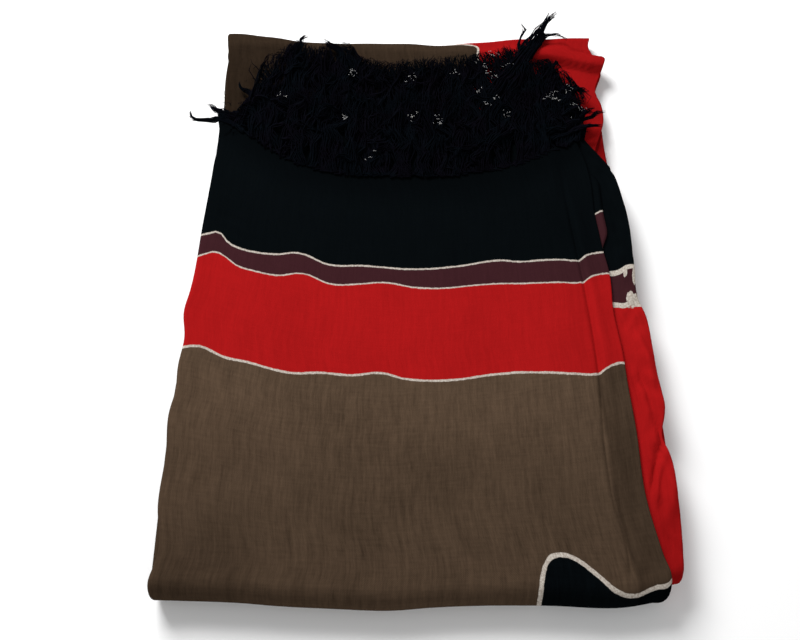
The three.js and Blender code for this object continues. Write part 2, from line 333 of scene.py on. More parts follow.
# The relief of the far end that shows behind the fringe. The ridge and the slit are past its fold.
def far_relief(x, y, past_far_fold):
    red_side = smooth_step(62, 92, x)
    past_ridge = y - read_curve(FAR_RIDGE["x"], FAR_RIDGE["y"], x)
    ridge = past_far_fold * smooth_step(-2, 2, past_ridge) * smooth_step(24, 5, past_ridge)
    slit = hump(y - read_curve(FAR_SLIT["x"], FAR_SLIT["y"], x), 1.6)
    relief = FAR_RIDGE_HEIGHT * red_side * ridge
    relief = relief - FAR_SLIT_DEPTH * past_far_fold * smooth_step(122, 130, x) * slit
    relief = relief + FAR_ROLL_HEIGHT * (1 - red_side) * hump(y - 194 + 0.03 * x, 5.5)
    return relief + FAR_WAVES * (1 + soft_waves(x, y, 30, 9))


# The whole folded cloth as a grid: (rows, columns) of places.
def folded_cloth():
    portion = row_portion()
    left_y = length_rows(LEFT_EDGE_X)[0][0]
    right_y = length_rows(RIGHT_EDGE_X)[0][0]
    on_top = 1 - smooth_step(1.0, 1.35, portion)

    def blend(top, key, y):
        under = read_curve(UNDER_SIDES["y"], UNDER_SIDES[key], y)
        return on_top * read_curve(top["y"], top["x"], y) + (1 - on_top) * under

    drift = DRIFT * np.sin(DRIFT_WAVES * np.maximum(0, portion - DRIFT_STARTS))
    left = blend(TOP_LEFT, "left", left_y) + drift
    tapers = smooth_step(3.0, 3.2, portion) * smooth_step(70, 118, right_y)
    edge = blend(TOP_EDGE, "edge", right_y) + drift - EDGE_DRAWS_IN * tapers
    fold = blend(TOP_FOLD, "fold", right_y) + drift - FOLD_DRAWS_IN * tapers
    peep = smooth_step(0, 22, right_y) * smooth_step(80, 60, right_y) * on_top
    second_edge = edge - SECOND_EDGE_IN + SECOND_EDGE_PEEPS * peep
    outer = left + HALF_PORTION
    side = fold - (PLY_PITCH + FOLD_PUFF) / 2 - SOLID_SHEET / 2
    stops = [value[:, None] for value in (edge, outer, side, outer + INNER_FOLD_INSET, second_edge)]
    puff_from = (np.maximum(edge, second_edge) + 1.5)[:, None]
    x, offset = fold_twice(PLY_PITCH, stops, PLY_COLUMNS, PLY_ARCS, FOLD_PUFF, puff_from)[:2]
    rows, columns = x.shape

    # Wrinkles of the fold that shows beside the open edge.
    run_starts = np.cumsum([len(places) + arc for places, arc in zip(PLY_COLUMNS, PLY_ARCS)])
    number = np.arange(columns)
    strip = smooth_step(run_starts[1] - 8, run_starts[1], number) * (number < run_starts[2])
    showing = 1 - smooth_step(0.98, 1.0, portion)
    beside = smooth_step(-1, 8, x - puff_from) * showing[:, None] * strip
    slanted = 0.4 * right_y[:, None] + x
    crumple = 1.0 * soft_waves(slanted, right_y[:, None], 22, 5, along=2.4)
    crumple = crumple + 0.7 * soft_waves(slanted, right_y[:, None], 10, 6, along=1.8)
    for fold_line in STRIP_FOLDS:
        crumple = crumple + fold_along(fold_line, x, right_y[:, None])
    offset = offset + beside * crumple

    y = np.empty_like(x)
    z = np.empty_like(x)
    pick = np.arange(rows)
    for column in range(columns):
        along, up, out_along, out_up = length_rows(x[:, column])
        y[:, column] = along[pick, pick] + out_along[pick, pick] * offset[:, column]
        z[:, column] = up[pick, pick] + out_up[pick, pick] * offset[:, column]
    x, y, z = settle(x, y, z)

    # Relief of the leaf that lies on top, and of the far end that shows behind the fringe.
    first_ply = np.zeros(columns)
    ply_end = len(PLY_COLUMNS[0])
    first_ply[:ply_end] = 1
    first_ply[ply_end:ply_end + 5] = np.linspace(0.9, 0.1, 5)
    top_leaf = first_ply[None, :] * (1 - smooth_step(0.97, 1.0, portion))[:, None]
    from_far_fold = hump(np.clip(portion - 2.0, -0.4, 0) / 0.25, 1)
    showing_far = smooth_step(1.72, 1.98, portion) * (1 - smooth_step(2.3, 2.4, portion))
    far_leaf = first_ply[None, :] * (from_far_fold * showing_far)[:, None]
    past_far_fold = (portion >= 2)[:, None]
    return x, y, z + top_leaf * top_relief(x, y) + far_leaf * far_relief(x, y, past_far_fold)


# Puts a finished mesh in the scene with smooth shading, and returns its piece.
def link_piece(name, mesh):
    mesh.polygons.foreach_set("use_smooth", np.ones(len(mesh.polygons), bool))
    mesh.update()
    piece = bpy.data.objects.new(name, mesh)
    bpy.context.scene.collection.objects.link(piece)
    return piece


def grid_mesh(name, points, uv):
    rows, columns = points.shape[:2]
    index = np.arange(rows * columns).reshape(rows, columns)
    corners = [index[:-1, :-1], index[1:, :-1], index[1:, 1:], index[:-1, 1:]]
    faces = np.stack(corners, axis=-1).reshape(-1, 4)
    mesh = bpy.data.meshes.new(name)
    mesh.from_pydata(points.reshape(-1, 3).tolist(), [], faces.tolist())
    layer = mesh.uv_layers.new(name="flat_cloth")
    layer.data.foreach_set("uv", uv.reshape(-1, 2)[faces.reshape(-1)].ravel())
    return link_piece(name, mesh)


# The cloth as one thick sheet, with its flat width and length in metres.
def make_cloth():
    points = to_frame(*folded_cloth())
    middle_row = points[len(PORTION_ROWS[0]) // 2]
    across = np.concatenate([[0], np.cumsum(np.linalg.norm(np.diff(middle_row, axis=0), axis=1))])
    middle_column = points[:, len(PLY_COLUMNS[0]) // 2]
    along = np.concatenate([[0], np.cumsum(np.linalg.norm(np.diff(middle_column, axis=0), axis=1))])
    uv = np.empty((*points.shape[:2], 2))
    uv[..., 0] = across[None, :]
    uv[..., 1] = along[:, None]
    piece = grid_mesh("sarong_cloth", points, uv)
    bpy.context.view_layer.objects.active = piece
    thick = piece.modifiers.new("thickness", "SOLIDIFY")
    thick.thickness = CLOTH_THICKNESS / 1000
    thick.offset = 0
    bpy.ops.object.modifier_apply(modifier="thickness")
    return piece, float(across[-1]), float(along[-1])


# A colour of the picture's scale, from 0 to 255, as the linear values that a shader takes.
def linear(red, green, blue):
    values = []
    for level in (red, green, blue):
        share = level / 255
        values.append(share / 12.92 if share < 0.04045 else ((share + 0.055) / 1.055) ** 2.4)
    return (*values, 1.0)


BROWN = linear(69, 55, 43)
RED = linear(150, 20, 21)
MAROON = linear(53, 27, 31)
BLACK = linear(6, 9, 11)
LINE_WHITE = linear(196, 190, 180)
LINE_SHADED = linear(150, 138, 128)
YARN_BLUE = linear(6, 9, 13)
YARN_PURPLE = linear(8, 7, 12)
LINT_SHADED = linear(120, 122, 126)
LINT_PALE = linear(190, 188, 184)
TABLE_WHITE = (0.93, 0.93, 0.93, 1)


# Small helpers that add nodes to one tree and join them.
class NodeKit:
    def __init__(self, tree):
        self.tree = tree

    def node(self, kind, **settings):
        made = self.tree.nodes.new(kind)
        for key, value in settings.items():
            setattr(made, key, value)
        return made

    def join(self, source, target):
        self.tree.links.new(source, target)

    # Gives each socket its plain value, or joins it to what makes the value.
    def feed(self, sockets, values):
        for socket, value in zip(sockets, values):
            if isinstance(value, (int, float, tuple)):
                socket.default_value = value
            else:
                self.join(value, socket)

    def math(self, operation, *values):
        made = self.node("ShaderNodeMath", operation=operation)
        self.feed(made.inputs, values)
        return made.outputs[0]

    def times(self, *values):
        return self.math("MULTIPLY", *values)

    def minus(self, *values):
        return self.math("SUBTRACT", *values)

    def most(self, *values):
        return self.math("MAXIMUM", *values)

    def times_add(self, *values):
        return self.math("MULTIPLY_ADD", *values)

    # A mix of two colours: the first where the factor is 0, the second where it is 1.
    def mix(self, *values):
        made = self.node("ShaderNodeMix", data_type="RGBA")
        self.feed((made.inputs[0], made.inputs[6], made.inputs[7]), values)
        return made.outputs[2]

    def ramp(self, value, low, high):
        made = self.node("ShaderNodeMapRange", interpolation_type="SMOOTHSTEP", clamp=True)
        made.inputs["From Min"].default_value = low
        made.inputs["From Max"].default_value = high
        self.join(value, made.inputs["Value"])
        return made.outputs["Result"]

    # 0 on the near side of an edge and 1 past it.
    def past(self, distance):
        return self.ramp(distance, -EDGE_BLUR, EDGE_BLUR)

    # The tone with a share added where the mask is 1.
    def changed(self, tone, mask, share):
        return self.times(tone, self.times_add(mask, share, 1.0))

    def scaled(self, colour, tone):
        made = self.node("ShaderNodeVectorMath", operation="SCALE")
        self.join(colour, made.inputs[0])
        self.join(tone, made.inputs["Scale"])
        return made.outputs[0]

    def bump(self, height, strength, distance):
        made = self.node("ShaderNodeBump")
        made.inputs["Strength"].default_value = strength
        made.inputs["Distance"].default_value = distance
        self.join(height, made.inputs["Height"])
        return made.outputs["Normal"]

    def noise(self, vector, scale, detail=3.0, roughness=0.55):
        made = self.node("ShaderNodeTexNoise")
        made.inputs["Scale"].default_value = scale
        made.inputs["Detail"].default_value = detail
        made.inputs["Roughness"].default_value = roughness
        self.join(vector, made.inputs["Vector"])
        return made.outputs["Fac"]

    def stretched(self, vector, across, along, shift=0.0):
        made = self.node("ShaderNodeMapping")
        made.inputs["Scale"].default_value = (across, along, 1.0)
        made.inputs["Location"].default_value = (shift, shift * 0.7, 0.0)
        self.join(vector, made.inputs["Vector"])
        return made.outputs["Vector"]


# A new material with a helper for its nodes, and its shader.
def start_material(name, roughness, shine):
    material = bpy.data.materials.new(name)
    material.use_nodes = True
    shader = material.node_tree.nodes["Principled BSDF"]
    shader.inputs["Roughness"].default_value = roughness
    shader.inputs["Specular IOR Level"].default_value = shine
    return material, NodeKit(material.node_tree), shader


# Spacing of the threads in the weave, and the strength and depth of its relief and the yarn's, in metres.
WARP_PITCH = 0.0009
WEFT_PITCH = 0.0010
WEAVE_BUMP = 0.35
WEAVE_DEPTH = 0.00025
YARN_BUMP = 0.4
YARN_DEPTH = 0.0001


# Woven cloth in its own flat coordinates: dye streaks along the warp, blotches, and the weave's height.
def woven_group():
    group = bpy.data.node_groups.new("woven_cloth", "ShaderNodeTree")
    group.interface.new_socket("Flat", in_out="INPUT", socket_type="NodeSocketVector")
    for name in ("Tone", "Height"):
        group.interface.new_socket(name, in_out="OUTPUT", socket_type="NodeSocketFloat")
    kit = NodeKit(group)
    flat = kit.node("NodeGroupInput").outputs["Flat"]
    out = kit.node("NodeGroupOutput")
    slubs = kit.noise(kit.stretched(flat, 420, 38), 1.0, 3.0, 0.6)
    fine_slubs = kit.noise(kit.stretched(flat, 1300, 170, 3.0), 1.0, 3.0, 0.65)
    cross_slubs = kit.noise(kit.stretched(flat, 70, 620, 7.0), 1.0, 3.0, 0.6)
    blotches = kit.noise(flat, 26.0, 4.0, 0.6)
    clouds = kit.noise(flat, 7.0, 2.0, 0.5)
    tone = 1.0
    shares = ((slubs, 0.85), (fine_slubs, 0.6), (cross_slubs, 0.4), (blotches, 0.55), (clouds, 0.5))
    for pattern, share in shares:
        tone = kit.times_add(kit.minus(pattern, 0.5), share, tone)
    kit.join(tone, out.inputs["Tone"])
    split = kit.node("ShaderNodeSeparateXYZ")
    kit.join(flat, split.inputs[0])
    warp = kit.math("SINE", kit.times(split.outputs["X"], 2 * math.pi / WARP_PITCH))
    weft = kit.math("SINE", kit.times(split.outputs["Y"], 2 * math.pi / WEFT_PITCH))
    threads = kit.times(warp, weft)
    height = kit.times_add(threads, 0.35, kit.times(slubs, 1.1))
    height = kit.times_add(fine_slubs, 0.6, height)
    height = kit.times_add(cross_slubs, 0.4, height)
    kit.join(height, out.inputs["Height"])
    return group


# Drawn lines in the cloth's flat coordinates, in millimetres. Each table gives the place of its second
# row by that of its first. The lines between the bands run this far in from the short end.
LINE_ONE = {
    "across": [
        0, 11, 20, 32, 43, 62, 73, 100, 130, 165, 187, 208,
        224, 239, 250, 260, 265, 277, 420, 583, 700, 900, 1090,
    ],
    "along": [90, 87, 88, 84, 81, 77, 74, 75, 76, 74, 75, 71, 78, 84, 86, 85, 82, 87, 92, 104, 96, 84, 67],
}
LINE_TWO = {
    "across": [
        0, 11, 21, 40, 58, 75, 128, 150, 170, 186, 204,
        221, 240, 249, 266, 277, 450, 583, 600, 800, 1090,
    ],
    "along": [105, 102, 103, 98, 94, 91, 90, 86, 88, 89, 85, 92, 97, 98, 95, 101, 115, 127, 124, 114, 92],
}
LINE_THREE = {
    "across": [
        0, 8, 20, 36, 56, 72, 116, 138, 152, 170, 190,
        205, 222, 238, 250, 268, 280, 300, 450, 700, 1090,
    ],
    "along": [
        161, 160, 162, 159, 155, 153, 155, 153, 149, 151, 151,
        154, 155, 156, 157, 155, 158, 158, 172, 168, 165,
    ],
}
# The dark wave by the near fold: its crest line, and its steep side by distance along the cloth.
WAVE_CREST = {
    "across": [-20, 0, 8, 15, 22, 32, 42, 52, 58, 63, 67, 72, 92],
    "along": [277, 276.5, 276.7, 278, 279.3, 276.3, 268, 260.5, 259, 259.7, 262.3, 268, 292],
}
WAVE_SIDE = {
    "along": [240, 256, 262, 266, 272, 277, 286, 310, 350, 380],
    "across": [56, 61.5, 66.6, 69.3, 71.4, 72, 72, 68, 20, -40],
}
# The red field along the open edge, in the middle of the cloth's length.
RED_FIELD = {
    "along": [400, 470, 560, 640, 700, 724, 728, 732, 737, 745, 765, 800, 880, 960, 1040],
    "across": [-30, 30, 75, 105, 116, 115, 108, 90, 87, 89, 94, 97, 84, 30, -30],
}
# The red field down the middle of the cloth's width, and where that middle is, in metres.
MIDDLE_RED = {"along": [0, 300, 700, 1100, 1480], "half_width": [62, 58, 66, 60, 62]}
MIDDLE_ACROSS = 0.572

# The share of the weave's change of tone that shows on the dyes other than brown.
WEAVE_ELSEWHERE = 0.35

# How much darker the middle of the cloth's length is painted: painted shade where it shows at the
# pile's far end. Each FROM pair is where a change starts and where it is whole, in metres.
MIDDLE_BROWN_PAINTED_SHADE = 0.46
MIDDLE_RED_PAINTED_SHADE = 0.2
MIDDLE_FROM = (0.45, 0.62)

# How much darker the cloth is painted along the selvedge and along its crease, both painted shade,
# and how much darker it is at the short ends.
SELVEDGE_PAINTED_SHADE = 0.32
SELVEDGE_FROM = (0.0215, 0.0165)
CREASE_PAINTED_SHADE = 0.28
CREASE_IN = 0.0188
CREASE_FROM = (0.0026, 0.0)
END_DARKER = 0.3
END_FROM = (0.035, 0.0)

# How much paler the brown is painted just past the bands: painted light, brighter there as the light falls.
PAST_BANDS_PAINTED_LIGHT = 0.2
PAST_BANDS_FROM = (0.215, 0.175)

# Painted shadow of the fringe: how much darker the brown is painted where the fringe lies on the cloth past
# its far fold.
UNDER_FRINGE_PAINTED_SHADOW = 0.36
UNDER_FRINGE_AT = 0.8
UNDER_FRINGE_FROM = (0.08, 0.03)

# Painted shade towards the near left corner of the pile, where the cloth curves down: how much darker it
# is, along and across the cloth.
CORNER_PAINTED_SHADE = 0.24
CORNER_ALONG = (0.215, 0.265)
CORNER_ACROSS = (0.18, 0.25)

# Half widths of the lines, in metres: round the red fields, round the dark wave, at the three edges
# of the bands, and the bold ones down the middle.
FIELD_LINE = 0.0008
WAVE_LINE = 0.0012
BAND_LINES = (0.0006, 0.0005, 0.0007)
BOLD_LINE = 0.0017

# How far the edges of the dye waver and the lines' width changes, and how soft both are.
WAVER = 0.0007
WIDTH_CHANGE = 0.0006
EDGE_BLUR = 0.0002
LINE_BLUR = 0.00025

# Drops of resist where the strip's bands end: the place and the half size of each, in metres.
RESIST_DROPS = [
    ((0.5821, 0.1268), (0.0066, 0.0038)),
    ((0.5863, 0.1236), (0.0026, 0.0040)),
    ((0.5881, 0.1066), (0.0015, 0.0024)),
    ((0.5818, 0.1100), (0.0014, 0.0055)),
]


# The room left below a drawn curve, and the step that its slope is measured over, in metres.
CURVE_MARGIN = 0.005
SLOPE_STEP = 0.0015


# A drawn line's place at each point of the cloth, in metres, from a short table in millimetres.
def drawn_curve(kit, across, table, clamped):
    keys, values = ([place / 1000 for place in row] for row in table.values())
    low = min(values) - CURVE_MARGIN
    start, span = keys[0], keys[-1] - keys[0]
    curve = kit.node("ShaderNodeFloatCurve")
    line = curve.mapping.curves[0]
    places = [((k - start) / span, (v - low) / span) for k, v in zip(keys, values)]
    line.points[0].location = places[0]
    line.points[1].location = (min(1.0, places[-1][0]), places[-1][1])
    for place in places[1:-1]:
        line.points.new(*place)
    for point in line.points:
        point.handle_type = "AUTO_CLAMPED" if clamped else "AUTO"
    curve.mapping.update()
    share = kit.math("DIVIDE", kit.minus(across, start), span)
    kit.join(share, curve.inputs["Value"])
    return kit.times_add(curve.outputs["Value"], span, low)


# The distance past a drawn line, in metres, measured square to it where it is steep.
def beyond(kit, across, along, table, steep=False, clamped=False):
    height = drawn_curve(kit, across, table, clamped)
    distance = kit.minus(along, height)
    if not steep:
        return distance
    moved = drawn_curve(kit, kit.math("ADD", across, SLOPE_STEP), table, clamped)
    slope = kit.math("DIVIDE", kit.minus(moved, height), SLOPE_STEP)
    length = kit.math("SQRT", kit.times_add(slope, slope, 1.0))
    return kit.math("DIVIDE", distance, length)


def line_mask(kit, distance, half_width):
    return kit.ramp(kit.math("ABSOLUTE", distance), half_width + LINE_BLUR, half_width - LINE_BLUR)


# A small drop of resist: 1 inside, 0 outside.
def blot(kit, u, v, place, size, rough):
    du = kit.math("DIVIDE", kit.minus(u, place[0]), size[0])
    dv = kit.math("DIVIDE", kit.minus(v, place[1]), size[1])
    round_off = kit.math("SQRT", kit.times_add(du, du, kit.times(dv, dv)))
    ragged = kit.times_add(rough, 1.1, round_off)
    return kit.ramp(ragged, 1.12, 0.95)


def cloth_material(length):
    material, kit, shader = start_material("dyed_viscose", 0.82, 0.0)
    flat = kit.node("ShaderNodeUVMap", uv_map="flat_cloth").outputs["UV"]
    split = kit.node("ShaderNodeSeparateXYZ")
    kit.join(flat, split.inputs[0])
    u, v = split.outputs["X"], split.outputs["Y"]
    end_in = kit.math("MINIMUM", v, kit.minus(length, v))
    woven = kit.node("ShaderNodeGroup", node_tree=woven_group())
    kit.join(flat, woven.inputs["Flat"])
    unsteady = kit.minus(kit.noise(flat, 420.0, 2.0), 0.5)
    wobble = kit.times(unsteady, WAVER)
    thickness = kit.times(kit.minus(kit.noise(flat, 160.0, 2.0), 0.5), WIDTH_CHANGE)

    # The fields: brown, with a red one along the open edge and another down the middle.
    open_red = beyond(kit, v, u, RED_FIELD, steep=True, clamped=True)
    middle = kit.math("ABSOLUTE", kit.minus(u, MIDDLE_ACROSS))
    middle_red = beyond(kit, v, middle, MIDDLE_RED)
    red_edge = kit.math("ADD", kit.math("MINIMUM", open_red, middle_red), wobble)
    field = kit.mix(kit.past(red_edge), RED, BROWN)
    drawn = line_mask(kit, red_edge, FIELD_LINE)

    # The dark wave by the near fold.
    crest = kit.times(beyond(kit, u, v, WAVE_CREST, steep=True), -1.0)
    side = beyond(kit, v, u, WAVE_SIDE)
    wave = kit.math("ADD", kit.most(crest, side), wobble)
    field = kit.mix(kit.past(wave), BLACK, field)
    drawn = kit.most(drawn, line_mask(kit, wave, WAVE_LINE))

    # The bands at both short ends, by their three edges.
    one = kit.math("ADD", beyond(kit, u, end_in, LINE_ONE), wobble)
    two = kit.math("ADD", beyond(kit, u, end_in, LINE_TWO), wobble)
    three = kit.math("ADD", beyond(kit, u, end_in, LINE_THREE), wobble)
    colour = kit.mix(kit.past(one), BLACK, MAROON)
    colour = kit.mix(kit.past(two), colour, RED)
    colour = kit.mix(kit.past(three), colour, field)

    # The tone of the dye and the weave, with painted shade, the fringe's painted shadow and painted light
    # laid on it.
    brown = kit.times(kit.past(red_edge), kit.past(three))
    strength = kit.times_add(brown, 1 - WEAVE_ELSEWHERE, WEAVE_ELSEWHERE)
    tone = kit.times_add(kit.minus(woven.outputs["Tone"], 1.0), strength, 1.0)
    # Painted shade on the middle of the cloth's length, which shows at the pile's far end.
    far_end_shade = kit.ramp(end_in, *MIDDLE_FROM)
    depth = kit.times_add(brown, MIDDLE_BROWN_PAINTED_SHADE - MIDDLE_RED_PAINTED_SHADE, MIDDLE_RED_PAINTED_SHADE)
    tone = kit.times(tone, kit.minus(1.0, kit.times(far_end_shade, depth)))
    from_crease = kit.math("ABSOLUTE", kit.minus(u, CREASE_IN))
    from_fringe = kit.math("ABSOLUTE", kit.minus(v, UNDER_FRINGE_AT))
    for distance, fades, share in (
        # Painted shade along the selvedge strip, which slopes away from the light.
        (u, SELVEDGE_FROM, -SELVEDGE_PAINTED_SHADE),
        # Painted shade in the crease beside the selvedge strip.
        (from_crease, CREASE_FROM, -CREASE_PAINTED_SHADE),
        # Painted light: the brown just past the bands made paler.
        (end_in, PAST_BANDS_FROM, PAST_BANDS_PAINTED_LIGHT),
        # Painted shadow of the fringe where it lies on the cloth.
        (from_fringe, UNDER_FRINGE_FROM, -UNDER_FRINGE_PAINTED_SHADOW),
    ):
        tone = kit.changed(tone, kit.times(kit.ramp(distance, *fades), brown), share)
    # Darker within a few centimetres of both short ends.
    tone = kit.changed(tone, kit.ramp(end_in, *END_FROM), -END_DARKER)
    # Painted shade towards the near left corner of the pile.
    corner = kit.times(kit.ramp(end_in, *CORNER_ALONG), kit.ramp(u, *CORNER_ACROSS))
    tone = kit.changed(tone, corner, -CORNER_PAINTED_SHADE)

    # The drawn lines and drops. The last line stops where the middle field is red.
    drawn = kit.times(drawn, kit.past(three))
    for distance, wide in zip((one, two, three), BAND_LINES):
        mask = line_mask(kit, kit.minus(kit.math("ABSOLUTE", distance), thickness), wide)
        if distance is three:
            mask = kit.times(mask, kit.ramp(middle_red, -0.0005, 0.0005))
        drawn = kit.most(drawn, mask)
    on_middle = kit.ramp(middle_red, 0.0, -0.004)
    for distance in (one, two):
        drawn = kit.most(drawn, kit.times(line_mask(kit, distance, BOLD_LINE), on_middle))
    for place, size in RESIST_DROPS:
        drawn = kit.most(drawn, blot(kit, u, v, place, size, unsteady))
    resist_tone = kit.ramp(kit.noise(flat, 900.0, 2.0), 0.25, 0.8)
    resist = kit.mix(resist_tone, LINE_SHADED, LINE_WHITE)
    kit.join(kit.mix(drawn, kit.scaled(colour, tone), resist), shader.inputs["Base Color"])
    kit.join(kit.bump(woven.outputs["Height"], WEAVE_BUMP, WEAVE_DEPTH), shader.inputs["Normal"])
    return material


# The fringe: matted locks of black yarn, in millimetres in the pile's own place.
LOCKS = 84
THREADS_A_LOCK = 17
FUZZ = 1800
TANGLES = 70
THREADS_A_TANGLE = 7
LOCK_POINTS = 12
FUZZ_POINTS = 5
YARN_RADIUS = 0.46
FUZZ_RADIUS = 0.15
TUBE_SIDES = 3
TOP_SPAN = (-132.0, 117.0)
UNDER_SPAN = (-128.0, 126.0)

# Fibres and threads that stick out of the mass by no more than this are turned back over it:
# by which share of that, and how far they rise.
LONE_FIBRE = 7.0
LONE_THREAD = 40.0
TURNED_BACK = 1.6
TURNED_UP = 0.25
HIGHEST_TURN = 2.0

# Where the mass of both fringes ends, by distance across the pile.
MASS_ENDS = {
    "x": [
        -134, -122, -117, -113, -108, -101, -92, -82, -70, -58, -46,
        -38, 20, 50, 66, 80, 90, 97, 112, 120, 128,
    ],
    "y": [
        122, 126, 142, 164, 182, 190, 196, 198, 191, 194, 189,
        183, 183, 187, 191, 194, 188, 182, 178, 166, 148,
    ],
}

# Locks that stand out from the mass: the (across, along, up) places that each one passes,
# and its half width at the root and at the tip.
TOP_LONE_LOCKS = [
    ([(-112, 112, 21), (-130, 118, 22), (-141, 124, 21), (-147, 131, 20)], (4.0, 1.5)),
    ([(-116, 106, 21), (-136, 113, 21), (-150, 116, 19), (-157, 117, 18), (-161, 125, 19)], (3.0, 0.9)),
    ([(98, 104, 22), (118, 114, 23), (131, 120, 22), (141, 127, 21)], (3.0, 0.7)),
    ([(100, 99, 22), (119, 108, 23), (131, 112, 22), (140, 113, 20)], (2.6, 0.8)),
    ([(92, 118, 20), (101, 142, 20), (109, 162, 18), (112, 177, 15)], (3.2, 1.4)),
    ([(98, 110, 21), (111, 132, 21), (118, 146, 18), (117, 157, 15)], (3.6, 1.8)),
]
UNDER_LONE_LOCKS = [
    ([(-112, 128, 15), (-119, 141, 16), (-124, 150, 15), (-127, 157, 14)], (3.0, 1.0)),
    ([(-92, 150, 16), (-89, 180, 16), (-86, 196, 15), (-81, 208, 14)], (5.0, 0.9)),
    ([(-58, 146, 16), (-51, 172, 17), (-56, 191, 17), (-69, 200, 15)], (6.0, 1.6)),
    ([(-48, 146, 16), (-42, 166, 17), (-44, 184, 17), (-54, 197, 16)], (6.0, 3.0)),
    ([(58, 140, 17), (74, 166, 19), (92, 196, 19), (108, 219, 18), (117, 233, 18)], (6.5, 1.8)),
    ([(70, 136, 17), (83, 164, 19), (96, 193, 19), (106, 213, 18), (114, 228, 18)], (5.0, 1.2)),
    (
        [(76, 142, 17), (90, 176, 18), (101, 200, 18), (106, 207, 18), (113, 208, 17), (122, 203, 16)],
        (2.5, 0.5),
    ),
    ([(76, 150, 17), (84, 180, 18), (86, 200, 17), (89, 212, 16), (88, 223, 16)], (1.6, 0.3)),
]


# A smooth path through a few places, as evenly counted points.
def lock_path(stops, points):
    stops = np.asarray(stops, float)
    gaps = np.linalg.norm(np.diff(stops, axis=0), axis=1)
    at = np.concatenate([[0], np.cumsum(gaps)]) / gaps.sum()
    share = np.linspace(0, 1, points)
    return np.stack([read_curve(at, stops[:, axis], share) for axis in range(3)], axis=-1)


def unit(vectors):
    return vectors / (np.linalg.norm(vectors, axis=-1, keepdims=True) + 1e-9)


# The directions along a path at each of its points, across it and upward from it.
def directions(paths, up):
    tangent = unit(np.gradient(paths, axis=-2))
    across = unit(np.cross(tangent, up))
    return tangent, across, np.cross(across, tangent)


# The threads of one lock: spread round its path, crimped, and curling apart towards their tips.
def loose_threads(rng, path, half_widths, threads, curl, shortest=0.9):
    points = len(path)
    share = np.linspace(0, 1, points)[None, :]
    length = np.linalg.norm(np.diff(path, axis=0), axis=1).sum()
    tangent, across, upward = directions(path, (0.0, 0.0, 1.0))
    half = half_widths[0] + (half_widths[1] - half_widths[0]) * share
    turn = rng.uniform(0, 2 * math.pi, (threads, 1)) + share * rng.uniform(-3.0, 3.0, (threads, 1))
    reach = half * np.sqrt(rng.uniform(0.02, 1.0, (threads, 1)))
    crimp_size = rng.uniform(0.3, 0.8, (threads, 1))
    crimp_turns = length / rng.uniform(7, 13, (threads, 1))
    crimp = crimp_size * np.sin(2 * math.pi * crimp_turns * share + rng.uniform(0, 6.3, (threads, 1)))
    lift = crimp_size * np.cos(2 * math.pi * crimp_turns * share + rng.uniform(0, 6.3, (threads, 1)))
    curling = curl * smooth_step(0.6, 1.0, share) * rng.normal(0, 1, (threads, 1))
    side = (reach * np.cos(turn) + crimp + curling)[..., None] * across[None]
    rise = (0.55 * reach * np.sin(turn) + 0.7 * lift)[..., None] * upward[None]
    back = (0.9 * np.abs(curling))[..., None] * tangent[None]
    strands = path[None] + side + rise - back
    keep = rng.uniform(shortest, 1.0, (threads, 1)) * share * (points - 1)
    low = np.minimum(keep.astype(int), points - 2)
    part = (keep - low)[..., None]
    rows = np.arange(threads)[:, None]
    return strands[rows, low] * (1 - part) + strands[rows, low + 1] * part


# Short curled fibres that stand off the threads.
def loose_fuzz(rng, threads, count):
    strand = rng.integers(len(threads), size=count)
    knot = rng.integers(2, threads.shape[1] - 2, size=count)
    place = threads[strand, knot]
    turn = rng.uniform(0, 2 * math.pi, count)
    bend = rng.normal(0, 0.8, count)
    stride = rng.uniform(0.5, 1.3, count)
    rise = rng.uniform(-0.2, 0.45, count)
    fibres = [place]
    for _ in range(FUZZ_POINTS - 1):
        step = np.stack([np.cos(turn), np.sin(turn), rise], axis=-1)
        place = place + step * stride[:, None]
        turn = turn + bend
        fibres.append(place)
    return np.stack(fibres, axis=1)


# Joins strands of equal point counts into one mesh of thin closed tubes that taper to their tips.
def tubes(name, strands, radii):
    vertices, faces, base = [], [], 0
    sides = TUBE_SIDES
    for paths, thickness in zip(strands, radii):
        count, points = paths.shape[:2]
        _, across, upward = directions(paths, (0.0, 0.12, 1.0))
        taper = read_curve([0, 0.7, 1], [1.0, 0.95, 0.3], np.linspace(0, 1, points))
        taper = taper[None, :, None] * thickness
        ring = []
        for corner in range(sides):
            turn = 2 * math.pi * corner / sides
            ring.append(paths + taper * (math.cos(turn) * across + math.sin(turn) * upward))
        block = np.stack(ring, axis=2)
        vertices.append(block.reshape(-1, 3))
        index = base + np.arange(count * points * sides).reshape(count, points, sides)
        after = np.roll(index, -1, axis=2)
        quads = np.stack([index[:, :-1], index[:, 1:], after[:, 1:], after[:, :-1]], axis=-1)
        faces.append(quads.reshape(-1, 4))
        faces.append(index[:, 0, :].reshape(-1, sides))
        faces.append(index[:, -1, ::-1].reshape(-1, sides))
        base += count * points * sides
    mesh = bpy.data.meshes.new(name)
    places = to_frame(*np.concatenate(vertices).T)
    mesh.from_pydata(places.tolist(), [], [face for group in faces for face in group.tolist()])
    return link_piece(name, mesh)


# The places that one lock of the top fringe passes, from the cloth's upper short end.
def top_lock(rng, root_x):
    root_y = float(top_start(root_x)) - rng.uniform(1, 3)
    root_z = rng.uniform(17.5, 21.8)
    shorter = (1 - 0.85 * smooth_step(92, 134, -root_x)) * (1 - 0.5 * smooth_step(90, 122, root_x))
    length = rng.uniform(66, 90) * shorter
    lean = 0.06 * root_x / 100 + rng.normal(0, 0.13)
    tip = (root_x + length * lean, root_y + length, 17.0 + rng.uniform(-1.5, 2.5))
    return (root_x, root_y, root_z), tip


